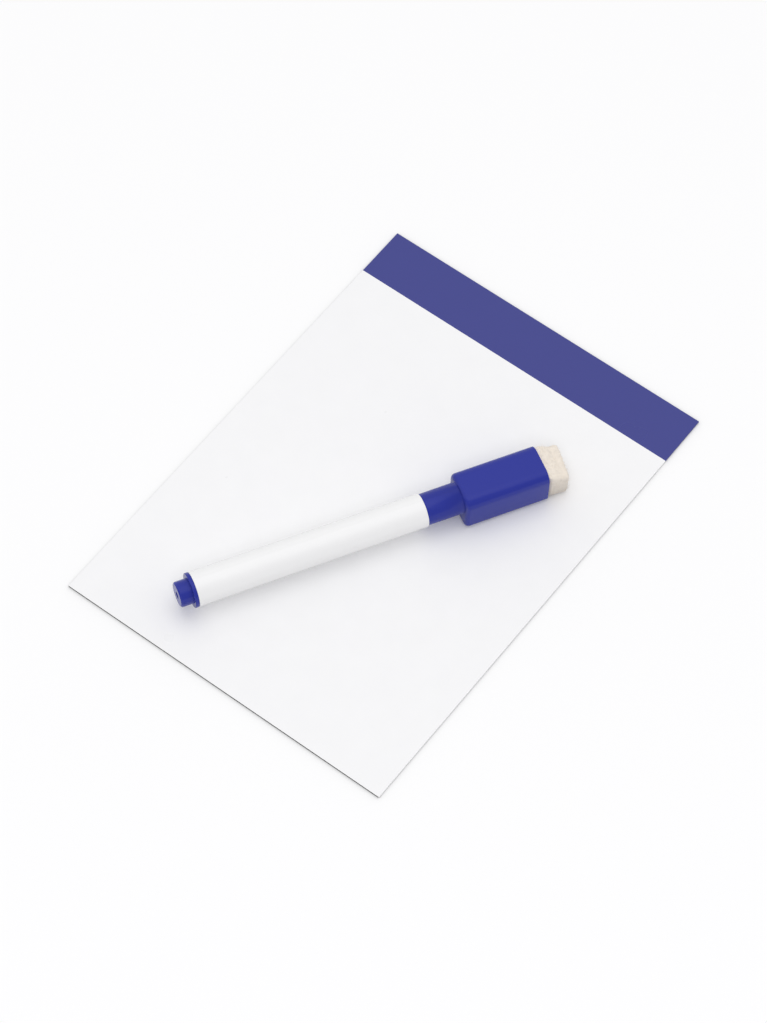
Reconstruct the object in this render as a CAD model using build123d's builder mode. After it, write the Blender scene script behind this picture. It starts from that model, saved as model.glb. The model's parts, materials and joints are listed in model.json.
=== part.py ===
from build123d import *
from math import cos, radians, sin
import os

# Magnetic board with a capped dry-wipe marker lying on it, in millimetres.
# The origin is the centre of the board's underside, +Y points to the header band, +Z up.
# The marker lies level on the flat side of its cap, as its magnet holds it.

# Board
board_width = 105.0
board_length = 148.0
sheet_thickness = 0.45
film_thickness = 0.15
header_depth = 16.4
lip_rise = 0.1

# Marker, lengths along its axis from the tail to the eraser
boss_length = 3.6
flange_thickness = 1.1
barrel_length = 66.7
cap_neck_length = 10.4
cap_block_length = 24.6
felt_stick_out = 6.3

# Place of the marker on the board: its middle, and its heading from +Y towards +X
marker_middle_x = 3.93
marker_middle_y = -13.14
marker_heading = 30.3

# Barrel
barrel_mouth_radius = 4.8
barrel_taper = 0.1
barrel_wall = 0.8
barrel_mouth_rounding = 0.3
inner_step_length = 2.0
spigot_wall = 0.85
bead_height = 0.1
bead_radius = 0.5
bead_distance = 3.5
nose_cone_length = 2.5
nozzle_wall = 1.16
nozzle_length = 3.5
nozzle_rounding = 0.5
rib_count = 6
rib_width = 0.7
rib_height = 0.35
rib_set_back = 12.0

# Nib and ink store
nib_radius = 1.5
nib_stick_out = 5.0
nib_tip_radius = 0.5
nib_taper_length = 2.6
nib_grip = 5.0
nib_point_length = 1.0
wrap_thickness = 0.13
wrap_slack = 0.02
reservoir_end_rounding = 0.2

# End plug
boss_radius = 3.6
boss_chamfer = 0.35
flange_overhang = 0.05
flange_rounding = 0.2
dimple_radius = 1.0
dimple_depth = 2.4
plug_spigot_length = 6.5
plug_spigot_wall = 0.9
plug_ring_count = 3
plug_ring_height = 0.16
plug_ring_pitch = 1.8
plug_ring_width = 0.8
plug_fin_thickness = 0.9
plug_fin_length = 1.6

# Cap
neck_step = 0.3
neck_wall = 0.74
cap_mouth_rounding = 0.2
cap_lead_in = 0.3
block_width = 12.4
block_top_step = 0.4
block_edge_radius = 2.2
block_shoulder_radius = 1.1
block_rim_rounding = 0.25
block_wall = 1.1
shoulder_wall = 1.4
socket_wall = 0.8
web_width = 0.8
web_thickness = 1.2
pocket_corner_radius = 0.8

# Eraser felt and magnet
felt_edge_radius = 0.5
magnet_length = 11.0
magnet_thickness = 1.6
magnet_recess = 0.3
magnet_edge = 0.2

# Clearances
running_clearance = 0.06
seat_clearance = 0.04
rib_clearance = 0.05
felt_clearance = 0.1
magnet_clearance = 0.1
magnet_side_room = 0.3
magnet_headroom = 0.54
nib_side_room = 0.8
nib_end_room = 2.0

# Board: the core that the film is rolled over, and the line between white face and header
core_width = board_width - 2 * film_thickness
board_thickness = sheet_thickness + film_thickness
header_line = board_length / 2 - header_depth

# Stations along the marker's axis
barrel_start = boss_length + flange_thickness
cap_mouth = barrel_start + barrel_length
block_start = cap_mouth + cap_neck_length
cap_rim = block_start + cap_block_length
spigot_end = block_start + shoulder_wall
nozzle_start = spigot_end + nose_cone_length
nose_tip = nozzle_start + nozzle_length
nib_tip = nose_tip + nib_stick_out
socket_end = nib_tip + nib_end_room
pocket_floor = socket_end + web_thickness
felt_end = cap_rim + felt_stick_out
plug_spigot_end = barrel_start + plug_spigot_length
reservoir_start = plug_spigot_end + plug_fin_length
reservoir_end = cap_mouth - inner_step_length
nib_tail = reservoir_end - nib_grip

# Radii inwards from the barrel's wall: bore, plug, ribs, wrap and ink store
barrel_tail_radius = barrel_mouth_radius + barrel_taper
barrel_bore_radius = barrel_mouth_radius - barrel_wall
flange_radius = barrel_tail_radius + flange_overhang
plug_ring_radius = barrel_bore_radius - seat_clearance
plug_spigot_radius = plug_ring_radius - plug_ring_height
rib_inner_radius = barrel_bore_radius - rib_height
wrap_outer_radius = rib_inner_radius - rib_clearance
wrap_inner_radius = wrap_outer_radius - wrap_thickness
reservoir_radius = wrap_inner_radius - wrap_slack

# Radii from the cap's neck inwards to the spigot, and from the nib outwards to the seal
cap_neck_radius = barrel_mouth_radius - neck_step
socket_radius = cap_neck_radius - neck_wall
socket_outer_radius = socket_radius + socket_wall
bead_outer_radius = socket_radius - running_clearance
spigot_radius = bead_outer_radius - bead_height
spigot_bore_radius = spigot_radius - spigot_wall
nib_bore_radius = nib_radius + seat_clearance
nozzle_radius = nib_bore_radius + nozzle_wall
seal_radius = nozzle_radius + running_clearance
seal_outer_radius = seal_radius + socket_wall
chamber_radius = nib_radius + nib_side_room

# Cap block: the magnet and the socket set how far it reaches below the axis, the neck how far above
block_below = block_wall - magnet_recess + magnet_thickness + magnet_headroom + socket_outer_radius
block_above = cap_neck_radius + block_top_step
block_height = block_below + block_above
bore_offset = (block_below - block_above) / 2
pocket_width = block_width - 2 * block_wall
pocket_height = block_height - 2 * block_wall
pocket_top = block_above - block_wall
magnet_width = pocket_width - 2 * (pocket_corner_radius + magnet_side_room)

# Directions and planes of the marker
heading = radians(marker_heading)
axis_height = board_thickness + block_below
axis_direction = Vector(sin(heading), cos(heading), 0)
side_direction = Vector(cos(heading), -sin(heading), 0)
tail_point = Vector(marker_middle_x, marker_middle_y, axis_height) - axis_direction * (felt_end / 2)
marker_axis = Axis(tail_point, axis_direction)

# Lengthwise section: x along the marker from its tail, y upwards
section = Plane(origin=tail_point, x_dir=axis_direction, z_dir=side_direction)


def across(station):
    """Plane square to the marker's axis, facing the eraser, with y upwards."""
    origin = tail_point + axis_direction * station
    return Plane(origin=origin, x_dir=-side_direction, z_dir=axis_direction)


def save(piece, name):
    piece.part.label = name
    export_step(piece.part, f"parts/{name}.step")


os.makedirs("parts", exist_ok=True)

# Magnetic sheet, the dark rubber core that the faces are laminated on
with BuildPart() as magnetic_sheet:
    with BuildSketch(Plane.XY):
        Rectangle(core_width, board_length)
    extrude(amount=sheet_thickness)
save(magnetic_sheet, "magnetic_sheet")

# Film faces, each rolled down over the two long edges of the core: the white writing face
# from the near edge to the header line, and the coloured header band on to the far edge
for name, near_end, far_end in (
    ("dry_wipe_film", -board_length / 2, header_line),
    ("header_band", header_line, board_length / 2),
):
    with BuildPart() as film:
        with BuildSketch(Plane.XZ.offset(-far_end)) as film_profile:
            with Locations((0, board_thickness)):
                Rectangle(board_width, board_thickness - lip_rise, align=(Align.CENTER, Align.MAX))
            with Locations((0, sheet_thickness)):
                Rectangle(
                    core_width,
                    sheet_thickness,
                    align=(Align.CENTER, Align.MAX),
                    mode=Mode.SUBTRACT,
                )
            fillet(film_profile.vertices().group_by(Axis.Y)[-1], radius=film_thickness)
        extrude(amount=far_end - near_end)
    save(film, name)

# Barrel, one moulding from the open tail to the nozzle that holds the nib
with BuildPart() as barrel:
    with BuildSketch(section):
        with BuildLine():
            Polyline(
                (barrel_start, barrel_bore_radius),
                (barrel_start, barrel_tail_radius),
                (cap_mouth, barrel_mouth_radius),
                (cap_mouth, spigot_radius),
                (spigot_end, spigot_radius),
                (nozzle_start, nozzle_radius),
                (nose_tip, nozzle_radius),
                (nose_tip, nib_bore_radius),
                (nozzle_start, nib_bore_radius),
                (spigot_end, spigot_bore_radius),
                (cap_mouth, spigot_bore_radius),
                (reservoir_end, barrel_bore_radius),
                close=True,
            )
        make_face()
    revolve(axis=marker_axis)
    # Bead on the spigot that the cap clicks over
    with BuildSketch(section):
        with Locations((cap_mouth + bead_distance, bead_outer_radius - bead_radius)):
            Circle(bead_radius)
    revolve(axis=marker_axis)
    # Ribs in the bore that centre the ink store and leave air paths beside it
    with BuildSketch(across(barrel_start + rib_set_back)):
        with PolarLocations(barrel_bore_radius, rib_count):
            Rectangle(rib_height * 2, rib_width)
    extrude(amount=reservoir_end - barrel_start - rib_set_back)
    outer_mouth = barrel.edges().filter_by(GeomType.CIRCLE).group_by(SortBy.RADIUS)[-2]
    fillet(outer_mouth, radius=barrel_mouth_rounding)
    nose_edges = barrel.faces().sort_by(marker_axis)[-1].outer_wire().edges()
    fillet(nose_edges, radius=nozzle_rounding)
save(barrel, "barrel")

# Nib, a round fibre stick with a bullet tip and a short point inside the ink store
with BuildPart() as nib:
    with BuildSketch(section):
        with BuildLine():
            Polyline(
                (nib_tail, 0),
                (nib_tail + nib_point_length, nib_radius),
                (nib_tip - nib_taper_length, nib_radius),
            )
            taper_end = (nib_tip - nib_tip_radius, nib_tip_radius)
            TangentArc((nib_tip - nib_taper_length, nib_radius), taper_end, tangent=(1, 0))
            Line(taper_end, (nib_tip, 0))
            Line((nib_tip, 0), (nib_tail, 0))
        make_face()
    revolve(axis=marker_axis)
save(nib, "nib")

# Ink reservoir, a fibre rod with a socket that takes the nib's tail
with BuildPart() as ink_reservoir:
    with BuildSketch(across(reservoir_start)):
        Circle(reservoir_radius)
    extrude(amount=reservoir_end - reservoir_start)
    fillet(ink_reservoir.edges().filter_by(GeomType.CIRCLE), radius=reservoir_end_rounding)
    with BuildSketch(section):
        with BuildLine():
            Polyline(
                (nib_tail - seat_clearance, 0),
                (nib_tail + nib_point_length - seat_clearance, nib_bore_radius),
                (reservoir_end, nib_bore_radius),
                (reservoir_end, 0),
                close=True,
            )
        make_face()
    revolve(axis=marker_axis, mode=Mode.SUBTRACT)
save(ink_reservoir, "ink_reservoir")

# Film wrap round the fibre rod
with BuildPart() as reservoir_wrap:
    with BuildSketch(across(reservoir_start)):
        Circle(wrap_outer_radius)
        Circle(wrap_inner_radius, mode=Mode.SUBTRACT)
    extrude(amount=reservoir_end - reservoir_start)
save(reservoir_wrap, "reservoir_wrap")

# End plug, a boss and flange outside and a ringed spigot inside the barrel
with BuildPart() as end_plug:
    with BuildSketch(across(0)):
        Circle(boss_radius)
    extrude(amount=boss_length)
    chamfer(end_plug.faces().sort_by(marker_axis)[0].edges(), length=boss_chamfer)
    with BuildSketch(section):
        with BuildLine():
            Polyline(
                (boss_length, 0),
                (boss_length, flange_radius),
                (barrel_start, flange_radius),
                (barrel_start, plug_spigot_radius),
                (plug_spigot_end, plug_spigot_radius),
                (plug_spigot_end, plug_spigot_radius - plug_spigot_wall),
                (barrel_start, plug_spigot_radius - plug_spigot_wall),
                (barrel_start, 0),
                close=True,
            )
        make_face()
    revolve(axis=marker_axis)
    flange_edges = end_plug.edges().filter_by(GeomType.CIRCLE).group_by(SortBy.RADIUS)[-1]
    fillet(flange_edges, radius=flange_rounding)
    # Rings that grip the bore
    for ring in range(plug_ring_count):
        ring_start = barrel_start + plug_ring_pitch * (ring + 0.5)
        with BuildSketch(across(ring_start)):
            Circle(plug_ring_radius)
            Circle(plug_spigot_radius - plug_spigot_wall / 2, mode=Mode.SUBTRACT)
        extrude(amount=plug_ring_width)
    # Crossed fins that hold the ink store forward
    with BuildSketch(across(barrel_start)):
        fin_span = 2 * plug_spigot_radius - plug_spigot_wall
        with PolarLocations(0, 2, angular_range=180):
            Rectangle(fin_span, plug_fin_thickness)
    extrude(amount=plug_spigot_length + plug_fin_length)
    # Round dimple in the end of the boss
    with Locations(Plane(origin=tail_point, x_dir=side_direction, z_dir=-axis_direction)):
        Hole(dimple_radius, depth=dimple_depth)
save(end_plug, "end_plug")

# Cap, a thin-walled moulding: a round neck, a square block open at the rim,
# and a closed socket inside it that seals on the nose of the barrel
with BuildPart() as cap:
    with BuildSketch(across(block_start)):
        with Locations((0, -bore_offset)):
            RectangleRounded(block_width, block_height, block_edge_radius)
    extrude(amount=cap_block_length)
    fillet(cap.faces().sort_by(marker_axis)[0].edges(), radius=block_shoulder_radius)
    fillet(cap.faces().sort_by(marker_axis)[-1].edges(), radius=block_rim_rounding)
    # Hollow of the block, from the rim to the shoulder wall
    with BuildSketch(across(spigot_end)):
        with Locations((0, -bore_offset)):
            RectangleRounded(pocket_width, pocket_height, pocket_corner_radius)
    extrude(amount=cap_block_length - shoulder_wall, mode=Mode.SUBTRACT)
    # Recess in the lower wall for the magnet
    lower_wall = block_wall - block_below
    with BuildSketch(across(spigot_end)):
        with Locations((0, lower_wall - magnet_recess / 2)):
            Rectangle(magnet_width + 2 * magnet_clearance, magnet_recess)
    extrude(amount=magnet_length + magnet_clearance, mode=Mode.SUBTRACT)
    # Neck and the socket that runs on from it inside the block
    with BuildSketch(across(cap_mouth)):
        Circle(cap_neck_radius)
    extrude(amount=cap_neck_length + shoulder_wall)
    with BuildSketch(section):
        with BuildLine():
            Polyline(
                (block_start, 0),
                (block_start, socket_outer_radius),
                (spigot_end, socket_outer_radius),
                (nozzle_start, seal_outer_radius),
                (pocket_floor, seal_outer_radius),
                (pocket_floor, 0),
                close=True,
            )
        make_face()
    revolve(axis=marker_axis)
    # Webs that stay the socket in the hollow and carry the felt
    with BuildSketch(across(spigot_end)):
        Rectangle(pocket_width + block_wall, web_width)
        with Locations((0, pocket_top / 2)):
            Rectangle(web_width, pocket_top + block_wall)
    extrude(amount=pocket_floor - spigot_end)
    # Bore: lead-in, socket for the spigot, seal on the nozzle, chamber for the nib
    with BuildSketch(section):
        with BuildLine():
            Polyline(
                (cap_mouth, 0),
                (cap_mouth, socket_radius + cap_lead_in),
                (cap_mouth + cap_lead_in, socket_radius),
                (spigot_end, socket_radius),
                (nozzle_start, seal_radius),
                (nose_tip, seal_radius),
                (nose_tip, chamber_radius),
                (socket_end, chamber_radius),
                (socket_end, 0),
                close=True,
            )
        make_face()
    revolve(axis=marker_axis, mode=Mode.SUBTRACT)
    mouth_face = cap.faces().sort_by(marker_axis)[0]
    fillet(mouth_face.outer_wire().edges(), radius=cap_mouth_rounding)
save(cap, "cap")

# Magnet under the socket, on the lower wall of the cap
with BuildPart() as cap_magnet:
    with BuildSketch(across(spigot_end)):
        with Locations((0, lower_wall - magnet_recess + magnet_thickness / 2)):
            Rectangle(magnet_width, magnet_thickness)
    extrude(amount=magnet_length)
    chamfer(cap_magnet.edges().filter_by(marker_axis), length=magnet_edge)
save(cap_magnet, "cap_magnet")

# Eraser felt, pushed into the rim of the cap down to the end of the socket
with BuildPart() as eraser_felt:
    with BuildSketch(across(pocket_floor)):
        with Locations((0, -bore_offset)):
            felt_width = pocket_width - 2 * felt_clearance
            felt_height = pocket_height - 2 * felt_clearance
            RectangleRounded(felt_width, felt_height, pocket_corner_radius)
    extrude(amount=felt_end - pocket_floor)
    fillet(eraser_felt.faces().sort_by(marker_axis)[-1].edges(), radius=felt_edge_radius)
save(eraser_felt, "eraser_felt")
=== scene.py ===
import json
import random
from math import atan2, cos, pi, radians, sin, tau

import bpy
from mathutils import Matrix, Quaternion, Vector


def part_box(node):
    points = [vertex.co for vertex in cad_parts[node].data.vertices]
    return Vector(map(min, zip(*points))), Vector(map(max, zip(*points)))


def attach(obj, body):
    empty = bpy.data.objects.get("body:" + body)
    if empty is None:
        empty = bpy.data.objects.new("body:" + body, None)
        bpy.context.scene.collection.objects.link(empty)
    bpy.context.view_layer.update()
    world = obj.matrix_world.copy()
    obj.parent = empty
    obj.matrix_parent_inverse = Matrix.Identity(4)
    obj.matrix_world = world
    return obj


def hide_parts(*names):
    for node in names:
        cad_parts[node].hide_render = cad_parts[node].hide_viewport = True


# Magnetic dry-wipe board with a capped marker lying on it. Everything is in metres.

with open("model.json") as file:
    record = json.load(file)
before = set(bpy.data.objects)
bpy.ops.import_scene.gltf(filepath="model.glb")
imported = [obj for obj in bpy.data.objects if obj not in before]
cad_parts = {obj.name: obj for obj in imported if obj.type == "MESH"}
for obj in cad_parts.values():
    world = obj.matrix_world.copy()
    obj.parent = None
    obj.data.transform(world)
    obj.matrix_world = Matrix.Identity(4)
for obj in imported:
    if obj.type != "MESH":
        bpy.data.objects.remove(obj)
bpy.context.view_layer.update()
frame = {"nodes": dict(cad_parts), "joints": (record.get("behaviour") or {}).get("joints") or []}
nodes = frame["nodes"]
mm = 0.001

# The marker's own directions, from the cap's slide: along it, towards the camera's side, and up
cap_slide = next(joint for joint in frame["joints"] if joint["name"] == "cap_pull")
along = Vector(cap_slide["axis"]).normalized()
up = Vector((0, 0, 1))
beside = along.cross(up)
marker_heading = atan2(along.x, along.y)


# Camera of the photograph
camera_lens_mm = 132.31
camera_sensor_mm = 36
camera_near = 0.01
camera_place = Vector((0.30970, -0.44506, 0.87686))
camera_aim = Vector((0.00052, -0.00296, 0.0))
camera_roll = radians(2.362)


def add_camera():
    bpy.ops.object.camera_add(location=camera_place)
    camera = bpy.context.object
    camera.name = "camera"
    camera.data.lens = camera_lens_mm
    camera.data.sensor_width = camera_sensor_mm
    camera.data.clip_start = camera_near
    towards = (camera_aim - camera_place).to_track_quat("-Z", "Y")
    camera.rotation_mode = "QUATERNION"
    camera.rotation_quaternion = towards @ Quaternion((0, 0, 1), camera_roll)
    bpy.context.scene.camera = camera


# Helpers for the nodes of a material or of the world


def add_node(owner, kind, **settings):
    node = owner.node_tree.nodes.new("ShaderNode" + kind)
    for name, value in settings.items():
        if hasattr(node, name):
            setattr(node, name, value)
        else:
            node.inputs[name.replace("_", " ")].default_value = value
    return node


def join(owner, start, end):
    owner.node_tree.links.new(start, end)


def calculate(owner, operation, *values):
    """A math node on sockets or plain numbers."""
    node = add_node(owner, "Math", operation=operation)
    for socket, value in zip(node.inputs, values):
        if isinstance(value, (int, float)):
            socket.default_value = value
        else:
            join(owner, value, socket)
    return node.outputs[0]


# Studio: a white tent, open on the camera's side, where it shows dark and gives less light
camera_side = Vector((camera_place.x, camera_place.y, 0)).normalized()
tent_light = 0.94
backdrop_white = 1.0
tent_wall = 1.0
tent_top_gain = 0.5
tent_top_power = 6
opening_level = 0.22
opening_light = 0.7
opening_elevation = radians(66)
opening_softness = 0.08

# Round soft panels, each with its tint, the light that it gives a level surface, its elevation,
# its distance and its diameter
soft_panels = (
    ("key_panel", (1.0, 1.0, 1.0), 0.16, radians(91), 4.0, 3.5),
    ("fill_panel", (0.99, 0.98, 1.03), 0.17, radians(55), 4.0, 2.0),
)


def add_room():
    """The tent: an even light for the surfaces, and walls that show in them as reflections."""
    world = bpy.data.worlds.new("tent")
    bpy.context.scene.world = world
    world.use_nodes = True
    world.cycles.sampling_method = "NONE"
    world.node_tree.nodes.clear()

    def background(strength):
        node = add_node(world, "Background")
        if isinstance(strength, (int, float)):
            node.inputs["Strength"].default_value = strength
        else:
            join(world, strength, node.inputs["Strength"])
        return node.outputs[0]

    def mix(factor, first, second):
        node = add_node(world, "MixShader")
        for socket, value in zip(node.inputs, (factor, first, second)):
            join(world, value, socket)
        return node.outputs[0]

    # How bright the wall shows, brightest overhead
    direction = add_node(world, "TexCoord").outputs["Generated"]
    height = add_node(world, "SeparateXYZ")
    join(world, direction, height.inputs[0])
    overhead = calculate(world, "MAXIMUM", height.outputs["Z"], 0.0)
    overhead = calculate(world, "POWER", overhead, tent_top_power)
    wall = calculate(world, "MULTIPLY_ADD", overhead, tent_top_gain, tent_wall)

    # Where the tent is closed, with a soft edge along the opening
    edge = Vector((0, 0, cos(opening_elevation))) - camera_side * sin(opening_elevation)
    across_opening = add_node(world, "VectorMath", operation="DOT_PRODUCT")
    across_opening.inputs[1].default_value = edge
    join(world, direction, across_opening.inputs[0])
    closed_range = add_node(world, "MapRange", interpolation_type="SMOOTHSTEP")
    closed_range.inputs["From Min"].default_value = -opening_softness
    closed_range.inputs["From Max"].default_value = opening_softness
    join(world, across_opening.outputs["Value"], closed_range.inputs["Value"])
    closed = closed_range.outputs["Result"]

    # What reflections show, what lights the surfaces, and what the camera sees behind them
    shown = calculate(world, "SUBTRACT", wall, opening_level)
    shown = calculate(world, "MULTIPLY", shown, closed)
    shown = calculate(world, "ADD", shown, opening_level)
    lit = calculate(world, "MULTIPLY", closed, tent_light * (1 - opening_light))
    lit = calculate(world, "ADD", lit, tent_light * opening_light)
    rays = add_node(world, "LightPath").outputs
    mirrored = calculate(world, "MAXIMUM", rays["Is Glossy Ray"], rays["Is Transmission Ray"])
    tent = mix(mirrored, background(lit), background(shown))
    tent = mix(rays["Is Camera Ray"], tent, background(backdrop_white))
    out = add_node(world, "OutputWorld")
    join(world, tent, out.inputs["Surface"])


def add_panel(name, tint, light, elevation, distance, diameter):
    """A round soft panel aimed at the board, polarised so that it leaves no highlight."""
    way = camera_side * cos(elevation) + up * sin(elevation)
    bpy.ops.object.light_add(type="AREA", location=way * distance)
    panel = bpy.context.object
    panel.name = name
    panel.rotation_mode = "QUATERNION"
    panel.rotation_quaternion = (-way).to_track_quat("-Z", "Y")
    panel.data.color = tint
    panel.data.shape = "DISK"
    panel.data.size = diameter
    panel.visible_glossy = False

    # A level surface sees the panel as this share of an even sky
    radius = diameter / 2
    seen = radius**2 / (radius**2 + distance**2) * sin(elevation)
    panel.data.energy = light / seen * pi * (pi * radius**2)


# Floor: its white, its glow where it is only seen, and the reach and strength of its shadow
floor_white = 0.86
floor_glow = 0.115
floor_size = 6.0
floor_drop = 0.00002
halo_reach = 0.009
halo_strength = 0.5


def add_floor():
    """White floor that shows brighter to the camera and in reflections, with a contact shadow."""
    bpy.ops.mesh.primitive_plane_add(size=floor_size, location=(0, 0, -floor_drop))
    floor = bpy.context.object
    floor.name = "floor"
    material = bpy.data.materials.new("floor_white")
    material.use_nodes = True
    material.node_tree.nodes.clear()

    # Darker close to the board
    nearness = add_node(material, "AmbientOcclusion", Distance=halo_reach)
    halo = calculate(material, "POWER", nearness.outputs["AO"], halo_strength)
    tone = add_node(material, "Mix", data_type="RGBA")
    tone.inputs["A"].default_value = (0, 0, 0, 1)
    tone.inputs["B"].default_value = (floor_white, floor_white, floor_white, 1)
    join(material, halo, tone.inputs["Factor"])
    paper = add_node(material, "BsdfDiffuse")
    join(material, tone.outputs["Result"], paper.inputs["Color"])

    # Brighter where it is only seen
    rays = add_node(material, "LightPath").outputs
    seen = calculate(material, "MAXIMUM", rays["Is Camera Ray"], rays["Is Glossy Ray"])
    seen = calculate(material, "MAXIMUM", seen, rays["Is Transmission Ray"])
    glow = add_node(material, "Emission", Color=(1, 1, 1, 1))
    join(material, calculate(material, "MULTIPLY", seen, floor_glow), glow.inputs["Strength"])
    both = add_node(material, "AddShader")
    join(material, paper.outputs[0], both.inputs[0])
    join(material, glow.outputs[0], both.inputs[1])
    out = add_node(material, "OutputMaterial")
    join(material, both.outputs[0], out.inputs["Surface"])
    floor.data.materials.append(material)


# Helpers for the finishes. The scale of a noise is in cells to the metre.


def new_material(name, colour, roughness, **settings):
    """A material with its Principled shader."""
    material = bpy.data.materials.new(name)
    material.use_nodes = True
    material.diffuse_color = (*colour, 1)
    shader = material.node_tree.nodes["Principled BSDF"]
    shader.inputs["Base Color"].default_value = (*colour, 1)
    shader.inputs["Roughness"].default_value = roughness
    for socket, value in settings.items():
        shader.inputs[socket.replace("_", " ")].default_value = value
    return material, shader


def object_place(material, turn=0.0, stretch=1.0):
    """Object coordinates, so that a pattern runs along a heading and is stretched that way."""
    place = add_node(material, "TexCoord")
    turned = add_node(material, "Mapping", vector_type="TEXTURE")
    turned.inputs["Rotation"].default_value = (0, 0, turn)
    turned.inputs["Scale"].default_value = (1, stretch, 1)
    join(material, place.outputs["Object"], turned.inputs["Vector"])
    return turned.outputs["Vector"]


def noise(material, vector, scale, detail=2.0, roughness=0.5):
    node = add_node(material, "TexNoise", Scale=scale, Detail=detail, Roughness=roughness)
    join(material, vector, node.inputs["Vector"])
    return node.outputs["Fac"]


def tinted(colour, amount):
    return tuple(min(1.0, channel * amount) for channel in colour)


def shades(material, factor, colour, stops):
    """A colour's tints over a factor, with stops of place and amount."""
    ramp = add_node(material, "ValToRGB")
    elements = ramp.color_ramp.elements
    while len(elements) < len(stops):
        elements.new(0.5)
    for element, (place, amount) in zip(elements, stops):
        element.position = place
        element.color = (*tinted(colour, amount), 1)
    join(material, factor, ramp.inputs["Fac"])
    return ramp.outputs["Color"]


def span(material, factor, low, high, source=(0.3, 0.7)):
    """A factor stretched from its source range, where most of a noise lies, to two values."""
    node = add_node(material, "MapRange")
    for socket, value in zip(("From Min", "From Max", "To Min", "To Max"), (*source, low, high)):
        node.inputs[socket].default_value = value
    join(material, factor, node.inputs["Value"])
    return node.outputs["Result"]


def relief(material, shader, *layers):
    """Bump from several heights, each with the depth of its full swing."""
    last = None
    for height, depth in layers:
        bump = add_node(material, "Bump", Strength=1.0, Distance=depth)
        join(material, height, bump.inputs["Height"])
        if last:
            join(material, last, bump.inputs["Normal"])
        last = bump.outputs["Normal"]
    join(material, last, shader.inputs["Normal"])


# Colours of the finishes
film_white = (0.915, 0.915, 0.92)
film_blue = (0.038, 0.045, 0.245)
rubber_black = (0.030, 0.029, 0.028)
moulding_white = (0.90, 0.90, 0.90)
moulding_blue = (0.027, 0.038, 0.305)
nib_blue = (0.02, 0.03, 0.16)
ink_blue = (0.04, 0.06, 0.30)
wrap_pale = (0.80, 0.83, 0.86)
ferrite_grey = (0.05, 0.05, 0.052)
wool_cream = (0.88, 0.803, 0.705)

# Film: print mottle, uneven shine, wide ripple and fine grain
film_mottle_scale = 140
film_mottle_stops = ((0.3, 0.992), (0.7, 1.004))
film_roughness = 0.3
film_shine_scale = 60
film_shine_range = (0.27, 0.34)
film_ripple_scale = 90
film_ripple_relief = 0.02 * mm
film_grain_scale = 1400
film_grain_relief = 0.001 * mm


def film_material(name, colour):
    """Smooth laminate: faint print mottle, very low ripple, and a slightly uneven shine."""
    material, shader = new_material(name, colour, film_roughness)
    place = object_place(material)
    mottle = noise(material, place, film_mottle_scale, detail=3)
    tones = shades(material, mottle, colour, film_mottle_stops)
    join(material, tones, shader.inputs["Base Color"])
    patches = noise(material, place, film_shine_scale, detail=4)
    shine = span(material, patches, *film_shine_range)
    join(material, shine, shader.inputs["Roughness"])
    ripple = noise(material, place, film_ripple_scale)
    grain = noise(material, place, film_grain_scale)
    relief(material, shader, (ripple, film_ripple_relief), (grain, film_grain_relief))
    return material


# Rubber: grain, and the lines that the sheet is drawn with
rubber_roughness = 0.62
rubber_grain_scale = 2600
rubber_grain_stops = ((0.25, 0.8), (0.75, 1.35))
rubber_grain_relief = 0.03 * mm
rubber_line_scale = 170
rubber_line_wander = 0.6
rubber_line_relief = 0.02 * mm


def rubber_material():
    """Calendered magnetic rubber: near black, matt, with fine grain and drawn lines."""
    material, shader = new_material("magnetic_rubber", rubber_black, rubber_roughness)
    place = object_place(material)
    grain = noise(material, place, rubber_grain_scale, detail=3)
    tones = shades(material, grain, rubber_black, rubber_grain_stops)
    join(material, tones, shader.inputs["Base Color"])
    lines = add_node(
        material, "TexWave", Scale=rubber_line_scale, Distortion=rubber_line_wander, Detail=2
    )
    join(material, place, lines.inputs["Vector"])
    relief(material, shader, (lines.outputs["Fac"], rubber_line_relief), (grain, rubber_grain_relief))
    return material


# Moulded plastic: the flow of the melt, the scuffs of use, and soft sinks over the walls
flow_scale = 220
flow_stops = ((0.3, 0.996), (0.7, 1.004))
scuff_scale = 700
scuff_roughness = 0.7
ripple_scale = 130


def moulded_material(name, colour, shine, ripple, scuffing, bend):
    """Moulded plastic: even colour, faint flow mottle, soft ripple and fine scuffs."""
    material, shader = new_material(name, colour, shine, IOR=bend)
    place = object_place(material, turn=-marker_heading)
    flow = noise(material, place, flow_scale, detail=2)
    tones = shades(material, flow, colour, flow_stops)
    join(material, tones, shader.inputs["Base Color"])
    scuffs = noise(material, place, scuff_scale, detail=5, roughness=scuff_roughness)
    worn_shine = span(material, scuffs, shine - scuffing, shine + scuffing)
    join(material, worn_shine, shader.inputs["Roughness"])
    sinks = noise(material, place, ripple_scale, detail=1)
    relief(material, shader, (sinks, ripple))
    return material


# Bonded fibre, many times longer than wide
fibre_roughness = 0.85
fibre_streak = 12.0
fibre_scale = 5200
fibre_stops = ((0.3, 0.6), (0.7, 1.5))
fibre_relief = 0.06 * mm


def fibre_material(name, colour):
    """Bonded fibre: matt, streaked along the marker."""
    material, shader = new_material(name, colour, fibre_roughness)
    place = object_place(material, turn=-marker_heading, stretch=fibre_streak)
    streaks = noise(material, place, fibre_scale, detail=3)
    tones = shades(material, streaks, colour, fibre_stops)
    join(material, tones, shader.inputs["Base Color"])
    relief(material, shader, (streaks, fibre_relief))
    return material


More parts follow.
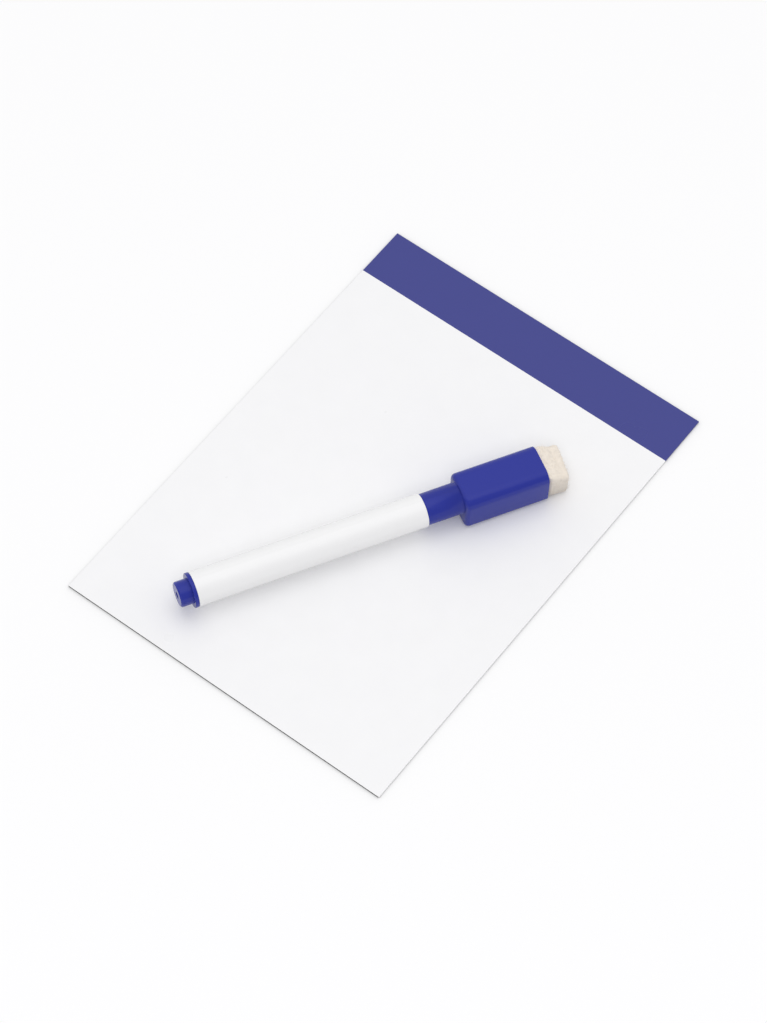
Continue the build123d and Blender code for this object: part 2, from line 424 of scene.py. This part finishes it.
# Felt: clumps and tangled fibres, with painted shade that darkens it below one height and ends above
# another
felt_roughness = 0.95
felt_sheen = 0.25
felt_sheen_roughness = 0.6
felt_clump_scale = 650
felt_clump_stops = ((0.25, 0.88), (0.45, 1.0), (0.75, 1.05))
felt_clump_relief = 0.12 * mm
felt_tangle_scale = 3200
felt_tangle_relief = 0.08 * mm
felt_painted_shade = 0.80
painted_shade_full_below = 3 * mm
painted_shade_none_above = 10.5 * mm


def felt_material():
    """Pressed wool felt: pale, matt, with tangled fibres, and painted shade that darkens it towards
    its underside.
    """
    material, shader = new_material(
        "wool_felt",
        wool_cream,
        felt_roughness,
        Sheen_Weight=felt_sheen,
        Sheen_Roughness=felt_sheen_roughness,
    )
    place = object_place(material)
    clumps = noise(material, place, felt_clump_scale, detail=4, roughness=0.6)
    tones = shades(material, clumps, wool_cream, felt_clump_stops)
    # Painted shade: the colour is darker towards the bottom of the felt, standing in for the dimmer
    # light on its front
    height = add_node(material, "SeparateXYZ")
    join(material, place, height.inputs["Vector"])
    painted_shade = span(material, height.outputs["Z"], felt_painted_shade, 1.0, (painted_shade_full_below, painted_shade_none_above))
    shaded_tones = add_node(material, "VectorMath", operation="SCALE")
    join(material, tones, shaded_tones.inputs[0])
    join(material, painted_shade, shaded_tones.inputs["Scale"])
    join(material, shaded_tones.outputs[0], shader.inputs["Base Color"])
    tangle = noise(material, place, felt_tangle_scale, detail=5, roughness=0.7)
    relief(material, shader, (clumps, felt_clump_relief), (tangle, felt_tangle_relief))
    return material


# Fine grain of the hidden pieces
plain_stops = ((0.3, 0.85), (0.7, 1.12))
plain_relief = 0.01 * mm


def plain_fine_material(name, colour, roughness, grain_scale):
    """An even hidden piece with fine grain."""
    material, shader = new_material(name, colour, roughness)
    place = object_place(material)
    grain = noise(material, place, grain_scale, detail=3)
    tones = shades(material, grain, colour, plain_stops)
    join(material, tones, shader.inputs["Base Color"])
    relief(material, shader, (grain, plain_relief))
    return material


def dress_all(cap_blue):
    """Gives each CAD node that isn't replaced its finish."""
    finishes = {
        "dry_wipe_film": film_material("white_film", film_white),
        "header_band": film_material("blue_film", film_blue),
        "magnetic_sheet": rubber_material(),
        "barrel": moulded_material(
            "barrel_white", moulding_white, shine=0.27, ripple=0.001 * mm, scuffing=0.004, bend=1.5
        ),
        "end_plug": cap_blue,
        "nib": fibre_material("nib_fibre", nib_blue),
        "ink_reservoir": fibre_material("ink_fibre", ink_blue),
        "reservoir_wrap": plain_fine_material("wrap_film", wrap_pale, roughness=0.2, grain_scale=900),
        "cap_magnet": plain_fine_material("ferrite", ferrite_grey, roughness=0.7, grain_scale=2500),
    }
    for node, material in finishes.items():
        slots = nodes[node].data.materials
        slots.clear()
        slots.append(material)


# Modelling helpers. A piece on the marker is shaped with +Y along the marker and +X towards the
# camera's side, about the middle of its node, and then laid on the marker's line.


def reach(node, direction):
    """The lowest and highest place of a node's mesh along a direction."""
    places = [vertex.co.dot(direction) for vertex in nodes[node].data.vertices]
    return min(places), max(places)


def select_only(piece):
    bpy.ops.object.select_all(action="DESELECT")
    piece.select_set(True)
    bpy.context.view_layer.objects.active = piece


def start_cube(name, size):
    bpy.ops.object.select_all(action="DESELECT")
    bpy.ops.mesh.primitive_cube_add(size=1)
    piece = bpy.context.object
    piece.name = name
    piece.scale = size
    bpy.ops.object.transform_apply(location=False, rotation=False, scale=True)
    return piece


def pick(piece, kind, test):
    """Opens a piece in edit mode with only the corners or edges that pass a test selected."""
    if bpy.context.object.mode == "EDIT":
        bpy.ops.object.mode_set(mode="OBJECT")
    bpy.context.view_layer.objects.active = piece
    bpy.ops.object.mode_set(mode="EDIT")
    bpy.ops.mesh.select_mode(type={"vertices": "VERT", "edges": "EDGE"}[kind])
    bpy.ops.mesh.select_all(action="DESELECT")
    bpy.ops.object.mode_set(mode="OBJECT")
    corners = piece.data.vertices
    for part in getattr(piece.data, kind):
        if kind == "vertices":
            part.select = test(part.co)
        else:
            part.select = test(*(corners[number].co for number in part.vertices))
    bpy.ops.object.mode_set(mode="EDIT")


def pick_all(piece):
    pick(piece, "vertices", lambda place: True)


def round_edges(piece, test, radius, segments):
    """Rounds the edges whose two ends pass a test."""
    pick(piece, "edges", test)
    bpy.ops.mesh.bevel(offset=radius, segments=segments)


def move_corners(piece, test, way):
    pick(piece, "vertices", test)
    bpy.ops.transform.translate(value=way)


def apply_modifier(piece, kind, **settings):
    modifier = piece.modifiers.new(kind.lower(), kind)
    for name, value in settings.items():
        setattr(modifier, name, value)
    bpy.ops.object.modifier_apply(modifier=modifier.name)


def cut(piece, tool, operation):
    """Joins a tool piece to another, or keeps only what both hold, and drops the tool."""
    bpy.context.view_layer.objects.active = piece
    apply_modifier(piece, "BOOLEAN", object=tool, operation=operation, solver="EXACT")
    bpy.data.objects.remove(tool)


def lay_on_marker(piece, middle):
    """Turns a finished piece on to the marker's line and puts its place into its mesh."""
    select_only(piece)
    piece.rotation_euler = (0, 0, -marker_heading)
    piece.location = middle
    bpy.ops.object.transform_apply(location=True, rotation=True, scale=True)


# Cap, its outside as the moulding has it: rounder along the top of the block than the CAD node.
# The form that it is cut to lies a skin inside the CAD node's flat sides. Its neck is a step lower
# than its block, laps into it and runs out past the mouth.
cap_neck_length = 10.4 * mm
cap_top_step = 0.4 * mm
cap_skin = 0.01 * mm
cap_neck_lap = cap_skin * 4
cap_mouth_overrun = 2 * mm
cap_neck_sides = 96
cap_weld = 0.0005 * mm
cap_smooth_below = radians(28)

# Radius and segments of the cap's rounded edges
cap_top_edge = (3.1 * mm, 14)
cap_bottom_edge = (2.2 * mm, 10)
cap_shoulder_edge = (1.25 * mm, 10)
cap_rim_edge = (0.25 * mm, 4)


def cap_block_form(size, middle):
    """The cap's square block, with +Y towards its open rim."""
    half = size / 2 - Vector((1, 1, 1)) * cap_skin

    def top_edge(a, b):
        return min(a.z, b.z) > half.z and abs(a.y - b.y) > half.y

    def bottom_edge(a, b):
        return max(a.z, b.z) < -half.z and abs(a.y - b.y) > half.y and abs(a.x) > half.x

    def shoulder_edge(a, b):
        return max(a.y, b.y) < -half.y

    def rim_edge(a, b):
        return min(a.y, b.y) > half.y

    block = start_cube("cap_block", size)
    round_edges(block, top_edge, *cap_top_edge)
    round_edges(block, bottom_edge, *cap_bottom_edge)
    round_edges(block, shoulder_edge, *cap_shoulder_edge)
    round_edges(block, rim_edge, *cap_rim_edge)
    bpy.ops.object.mode_set(mode="OBJECT")
    lay_on_marker(block, middle)
    return block


def cap_neck_form(radius, length, middle):
    """A round bar a skin clear of the CAD node's own neck."""
    bpy.ops.object.select_all(action="DESELECT")
    bpy.ops.mesh.primitive_cylinder_add(vertices=cap_neck_sides, radius=radius, depth=1)
    neck = bpy.context.object
    pick_all(neck)
    bpy.ops.transform.rotate(value=pi / 2, orient_axis="X", center_override=(0, 0, 0))
    bpy.ops.transform.resize(value=(1, length, 1), center_override=(0, 0, 0))
    bpy.ops.object.mode_set(mode="OBJECT")
    lay_on_marker(neck, middle)
    return neck


def add_cap(plastic):
    """The cap: the CAD node's walls and bore, cut to a neck and a block with softer edges."""
    mouth, rim = reach("cap", along)
    left, right = reach("cap", beside)
    bottom, top = reach("cap", up)
    axis_height = sum(reach("barrel", up)) / 2
    shoulder = mouth + cap_neck_length
    middle_line = beside * (left + right) / 2

    size = Vector((right - left, rim - shoulder, top - bottom)) - Vector((2, 2, 2)) * cap_skin
    middle = along * (shoulder + rim) / 2 + middle_line + up * (bottom + top) / 2
    form = cap_block_form(size, middle)
    neck_radius = (top - axis_height) - cap_top_step + cap_skin
    neck_length = cap_neck_length + cap_mouth_overrun + cap_neck_lap
    neck_middle = along * (shoulder + cap_neck_lap - neck_length / 2)
    neck_middle += middle_line + up * axis_height
    neck = cap_neck_form(neck_radius, neck_length, neck_middle)

    cap = bpy.data.objects.new("cap_shell", nodes["cap"].data.copy())
    bpy.context.scene.collection.objects.link(cap)
    pick_all(cap)
    bpy.ops.mesh.remove_doubles(threshold=cap_weld)
    bpy.ops.object.mode_set(mode="OBJECT")
    cut(form, neck, "UNION")
    cut(cap, form, "INTERSECT")
    select_only(cap)
    bpy.ops.object.shade_smooth_by_angle(angle=cap_smooth_below)
    cap.data.materials.clear()
    cap.data.materials.append(plastic)
    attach(cap, "cap")
    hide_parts("cap")


# Eraser felt: its rounded edges, by radius and segments, and the shares of its size past which
# a corner counts as on a side or on the end
felt_worn_edge = (1.0 * mm, 6)
felt_long_edge = (0.9 * mm, 4)
felt_end_edge = (0.9 * mm, 4)
felt_side_share = 0.4
felt_end_share = 0.49

# Rings of corners: two just past the cap's rim, and one short of the felt's end. One more lies
# halfway from the rim to the end.
felt_rim_rings = (0.2 * mm, 1.0 * mm)
felt_end_ring = 1.6 * mm
ring_slack = 0.1 * mm

# How it swells past the rim, wears in front, sags, droops and leans
felt_swell_start = 0.5 * mm
felt_swell = (1.09, 1.0, 1.03)
felt_front_wear = Vector((0.25, 0, -1.0)) * mm
felt_sag = 0.35 * mm
felt_droop = 0.45 * mm
felt_back_droop = 0.4 * mm
felt_lean = 0.9 * mm

# Its surface: even cells, the size and depth of its lumps and of its pills, and the smoothing
# before and after them
felt_grain = 0.26 * mm
felt_lumps = (1.6 * mm, 0.28 * mm)
felt_pills = (0.45 * mm, 0.16 * mm)
felt_first_smoothing = {"factor": 0.5, "iterations": 4}
felt_last_smoothing = {"factor": 0.3, "iterations": 1}


def felt_block(width, length, height, rim):
    """The felt's block, rounded along its length, most on its worn edge, which the camera sees."""
    side = min(width, height) * felt_side_share
    end = length * felt_end_share

    def worn_edge(a, b):
        return min(a.x, b.x) > 0 and min(a.z, b.z) > 0

    def long_edge(a, b):
        return abs(a.y - b.y) > side and (a.x * a.z < 0 or a.x < 0) and abs(a.x) > side

    def end_edge(a, b):
        return min(a.y, b.y) > end

    felt = start_cube("eraser_felt_block", (width, length, height))
    round_edges(felt, worn_edge, *felt_worn_edge)
    round_edges(felt, long_edge, *felt_long_edge)
    round_edges(felt, end_edge, *felt_end_edge)

    # Swollen where it leaves the cap
    droop_rings = ((rim + length / 2) / 2, length / 2 - felt_end_ring)
    for ring in (*(rim + past for past in felt_rim_rings), *droop_rings):
        pick_all(felt)
        bpy.ops.mesh.bisect(plane_co=(0, ring, 0), plane_no=(0, 1, 0))
    swollen = rim + felt_swell_start
    pick(felt, "vertices", lambda place: place.y > swollen)
    bpy.ops.transform.resize(value=felt_swell, center_override=(0, 0, 0))
    move_corners(
        felt, lambda place: place.y > swollen and place.x > 0 and place.z > 0, felt_front_wear
    )

    # Drooping in two steps and leaning towards its end
    for ring in droop_rings:
        past = ring - ring_slack
        move_corners(felt, lambda place: place.y > past, (0, 0, -felt_sag))
        move_corners(felt, lambda place: place.y > past and place.z > 0, (0, 0, -felt_droop))
        move_corners(
            felt, lambda place: place.y > past and place.z > 0 > place.x, (0, 0, -felt_back_droop)
        )
    move_corners(
        felt,
        lambda place: place.y > droop_rings[1] and place.x < 0 and place.z > 0,
        (0, felt_lean, 0),
    )
    bpy.ops.object.mode_set(mode="OBJECT")
    return felt


def add_felt(wool):
    """The eraser: a block of pressed felt, swollen past the cap's rim, worn and fuzzy."""
    start, end = reach("eraser_felt", along)
    left, right = reach("eraser_felt", beside)
    bottom, top = reach("eraser_felt", up)
    middle = along * (start + end) / 2 + beside * (left + right) / 2 + up * (bottom + top) / 2
    rim = reach("cap", along)[1] - (start + end) / 2
    felt = felt_block(right - left, end - start, top - bottom, rim)

    # Even cells, then lumps and pills pushed out of the surface
    apply_modifier(felt, "REMESH", mode="VOXEL", voxel_size=felt_grain)
    apply_modifier(felt, "SMOOTH", **felt_first_smoothing)
    for size, depth in (felt_lumps, felt_pills):
        clumps = bpy.data.textures.new("felt_clumps", "CLOUDS")
        clumps.noise_scale = size
        apply_modifier(felt, "DISPLACE", texture=clumps, strength=depth, mid_level=0.5)
    apply_modifier(felt, "SMOOTH", **felt_last_smoothing)
    bpy.ops.object.shade_smooth()
    felt.data.materials.append(wool)

    board_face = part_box("dry_wipe_film")[1][2] - middle.z
    fuzz = add_fuzz(felt, rim, board_face, wool)
    for piece in (felt, fuzz):
        lay_on_marker(piece, middle)
        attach(piece, "cap")
    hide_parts("eraser_felt")


# Loose fibres: how many are tried, the length of the longest, their radius and their seed
hair_count = 1400
hair_length = 1.1 * mm
hair_radius = 0.018 * mm
hair_seed = 7

# Shares of a hair's length: where it is cut, where it bends and by how much, how much shorter
# others are, and how far out its middle stands
hair_cuts = (-0.25, 0.0, 0.25)
hair_bends = ((-0.2, 0.08), (0.05, 0.12), (0.3, 0.2))
hair_sizes = (0.35, 1.0)
hair_standing = 0.42

# How much hairs stand up, where they start past the rim, and what they keep off the board
hair_lift = (0.2, 0.9)
hair_start = 0.4 * mm
hair_clearance = 0.5 * mm


def start_hair(wool):
    """One hair: a thin pointed rod, bent in three places."""
    bpy.ops.object.select_all(action="DESELECT")
    bpy.ops.mesh.primitive_cone_add(
        vertices=4, radius1=hair_radius, radius2=hair_radius / 3, depth=hair_length
    )
    hair = bpy.context.object
    hair.name = "felt_fuzz"
    for level in hair_cuts:
        pick_all(hair)
        bpy.ops.mesh.bisect(plane_co=(0, 0, level * hair_length), plane_no=(0, 0, 1))
    for level, push in hair_bends:
        move_corners(hair, lambda place: place.z > level * hair_length, (push * hair_length, 0, 0))
    bpy.ops.object.mode_set(mode="OBJECT")
    hair.data.materials.append(wool)
    return hair


def add_fuzz(felt, rim, board_face, wool):
    """Loose fibres, one bent hair that is copied all over the felt outside the cap, above the
    board."""
    hair = start_hair(wool)
    chance = random.Random(hair_seed)
    outside = [face for face in felt.data.polygons if face.center.y > rim + hair_start]
    copies = []
    for count in range(hair_count):
        face = chance.choice(outside)
        lie = Vector([chance.uniform(-1, 1) for axis in range(3)]).normalized()
        way = (lie + face.normal * chance.uniform(*hair_lift)).normalized()
        turn = way.to_track_quat("Z", "X") @ Quaternion((0, 0, 1), chance.uniform(0, tau))
        size = chance.uniform(*hair_sizes)
        tip = face.center + way * hair_length * size
        if tip.z < board_face + hair_clearance:
            continue
        middle = face.center + way * hair_length * size * hair_standing
        copy = hair.copy()
        copy.data = hair.data.copy()
        copy.matrix_world = Matrix.LocRotScale(middle, turn, Vector((1, 1, size)))
        bpy.context.scene.collection.objects.link(copy)
        copies.append(copy)
    bpy.ops.object.select_all(action="DESELECT")
    for copy in copies:
        copy.select_set(True)
    bpy.context.view_layer.objects.active = copies[0]
    bpy.ops.object.join()
    fuzz = bpy.context.object
    bpy.data.objects.remove(hair)
    fuzz.name = "felt_fuzz"
    bpy.ops.object.transform_apply(location=True, rotation=True, scale=True)
    return fuzz


add_camera()
add_room()
for panel in soft_panels:
    add_panel(*panel)
add_floor()
cap_blue = moulded_material(
    "cap_blue", moulding_blue, shine=0.18, ripple=0.03 * mm, scuffing=0.02, bend=1.31
)
dress_all(cap_blue)
add_cap(cap_blue)
add_felt(felt_material())

bpy.context.scene.view_settings.view_transform = "Standard"
